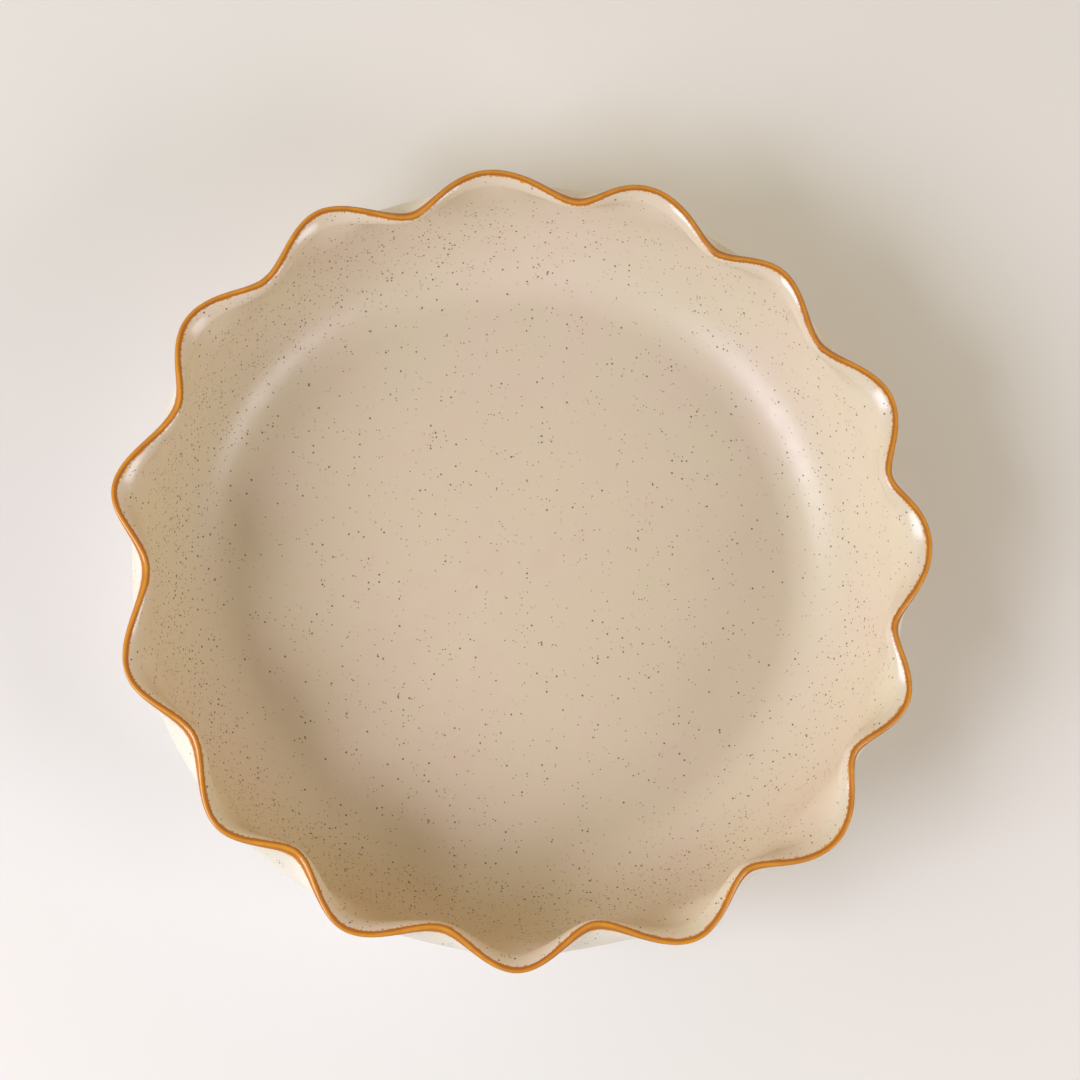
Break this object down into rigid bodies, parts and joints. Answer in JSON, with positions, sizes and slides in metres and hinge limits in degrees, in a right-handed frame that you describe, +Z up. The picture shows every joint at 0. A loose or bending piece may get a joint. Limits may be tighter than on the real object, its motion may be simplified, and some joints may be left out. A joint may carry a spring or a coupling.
{
  "type": "pie dish",
  "caption": "Round deep pie dish in speckled glazed stoneware, with a softly ruffled lip edged in amber glaze and a low foot ring underneath.",
  "frame": {"origin": "middle of the foot ring, on the surface the dish stands on", "axes": "+Z up out of the open top; +X and +Y are level, and the waves of the lip are counted anticlockwise from +X"},
  "size_m": [0.2904, 0.2842, 0.058],
  "materials": {
    "bare_stoneware": "matt bare fired clay with fine iron specks",
    "speckled_liner_glaze": "satin cream glaze with soft pink and straw blotches and fine dark iron specks",
    "speckled_outer_glaze": "satin off-white glaze with sparse fine iron specks",
    "amber_rim_glaze": "glossy amber glaze, darker where it pools along its edges",
    "speckled_underside_glaze": "satin off-white glaze with sparse fine iron specks"
  },
  "bodies": {
    "root": {"clay_body": "bare_stoneware", "liner_glaze": "speckled_liner_glaze", "outer_glaze": "speckled_outer_glaze", "rim_glaze": "amber_rim_glaze", "underside_glaze": "speckled_underside_glaze"}
  },
  "joints": []
}
